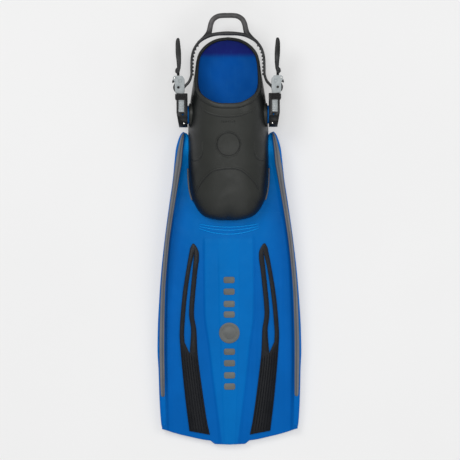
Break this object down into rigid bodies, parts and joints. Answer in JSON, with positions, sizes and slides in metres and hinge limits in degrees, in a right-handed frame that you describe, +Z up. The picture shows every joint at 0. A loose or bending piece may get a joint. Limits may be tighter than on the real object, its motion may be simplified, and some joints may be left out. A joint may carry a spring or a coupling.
{
  "type": "swim fin",
  "caption": "Open-heel swim fin with a stiff channelled blade, soft inserts, a rubber foot pocket and a toothed heel strap that swings on quick-release buckles",
  "frame": {"origin": "middle of the bounding box in plan, on the floor the fin rests on", "axes": "+Y to the heel along the fin's length, +X across the blade, +Z up out of the instep"},
  "size_m": [0.2046, 0.612, 0.0996],
  "materials": {
    "blue_plastic": "satin blue thermoplastic with a fine moulded grain",
    "pocket_rubber": "matt black thermoplastic rubber",
    "insert_rubber": "matt black soft rubber",
    "grey_rubber": "matt grey soft rubber",
    "strap_rubber": "matt black rubber",
    "tread_rubber": "matt black rubber with a ribbed tread",
    "grey_trim": "matt grey pad-printed trim",
    "black_plastic": "fine-grained black nylon",
    "button_plastic": "ridged black nylon",
    "grey_plastic": "satin light grey acetal",
    "steel": "turned stainless steel",
    "spring_steel": "drawn stainless wire"
  },
  "bodies": {
    "fin": {"blade": "blue_plastic", "side_rail_left": "blue_plastic", "side_rail_right": "blue_plastic", "foot_pocket": "pocket_rubber", "pocket_sole": "pocket_rubber", "channel_insert_left": "insert_rubber", "channel_insert_right": "insert_rubber", "rail_strip_left": "grey_rubber", "rail_strip_right": "grey_rubber", "pocket_flare_left": "grey_rubber", "pocket_flare_right": "grey_rubber", "swivel_post_left": "blue_plastic", "swivel_post_right": "blue_plastic", "sole_pads": "tread_rubber", "blade_badge": "grey_trim", "blade_marks": "grey_trim"},
    "strap_bail": {"buckle_plug_left": "grey_plastic", "buckle_plug_right": "grey_plastic", "buckle_receiver_left": "black_plastic", "buckle_receiver_right": "black_plastic", "button_spring_lower_left": "spring_steel", "button_spring_lower_right": "spring_steel", "button_spring_upper_left": "spring_steel", "button_spring_upper_right": "spring_steel", "heel_strap": "strap_rubber", "pawl_pin_left": "steel", "pawl_pin_right": "steel", "pawl_spring_left": "spring_steel", "pawl_spring_right": "spring_steel", "retaining_pin_left": "steel", "retaining_pin_right": "steel", "roller_pin_left": "steel", "roller_pin_right": "steel", "tie_pin_left": "steel", "tie_pin_right": "steel"},
    "button_upper_left_body": {"release_button_upper_left": "button_plastic"},
    "button_lower_left_body": {"release_button_lower_left": "button_plastic"},
    "pawl_left_body": {"strap_pawl_left": "black_plastic"},
    "roller_left_body": {"roller_left": "black_plastic"},
    "button_upper_right_body": {"release_button_upper_right": "button_plastic"},
    "button_lower_right_body": {"release_button_lower_right": "button_plastic"},
    "pawl_right_body": {"strap_pawl_right": "black_plastic"},
    "roller_right_body": {"roller_right": "black_plastic"}
  },
  "joints": [
    {"name": "strap_swing", "type": "hinge", "parent": "fin", "child": "strap_bail", "pos_m": [0, 0.1623, 0.045], "axis": [1, 0, 0], "range_deg": [-5, 120]},
    {"name": "button_press_upper_left", "type": "slide", "parent": "strap_bail", "child": "button_upper_left_body", "axis": [0, 0, -1], "range_m": [0, 0.002], "stiffness_N_per_m": 500, "springref_m": -0.001, "deforming": ["button_spring_upper_left"]},
    {"name": "button_press_lower_left", "type": "slide", "parent": "strap_bail", "child": "button_lower_left_body", "axis": [0, 0, 1], "range_m": [0, 0.002], "stiffness_N_per_m": 500, "springref_m": -0.001, "deforming": ["button_spring_lower_left"]},
    {"name": "pawl_lift_left", "type": "hinge", "parent": "strap_bail", "child": "pawl_left_body", "pos_m": [-0.0752, 0.2139, 0.045], "axis": [0, 0, -1], "range_deg": [0, 25], "stiffness_Nm_per_rad": 0.02, "springref_deg": -17.19},
    {"name": "roller_turn_left", "type": "hinge", "parent": "strap_bail", "child": "roller_left_body", "pos_m": [-0.07, 0.2006, 0.045], "axis": [0, 0, 1], "continuous": true},
    {"name": "button_press_upper_right", "type": "slide", "parent": "strap_bail", "child": "button_upper_right_body", "axis": [0, 0, -1], "range_m": [0, 0.002], "stiffness_N_per_m": 500, "springref_m": -0.001, "deforming": ["button_spring_upper_right"]},
    {"name": "button_press_lower_right", "type": "slide", "parent": "strap_bail", "child": "button_lower_right_body", "axis": [0, 0, 1], "range_m": [0, 0.002], "stiffness_N_per_m": 500, "springref_m": -0.001, "deforming": ["button_spring_lower_right"]},
    {"name": "pawl_lift_right", "type": "hinge", "parent": "strap_bail", "child": "pawl_right_body", "pos_m": [0.0752, 0.2139, 0.045], "axis": [0, 0, 1], "range_deg": [0, 25], "stiffness_Nm_per_rad": 0.02, "springref_deg": -17.19},
    {"name": "roller_turn_right", "type": "hinge", "parent": "strap_bail", "child": "roller_right_body", "pos_m": [0.07, 0.2006, 0.045], "axis": [0, 0, 1], "continuous": true}
  ]
}
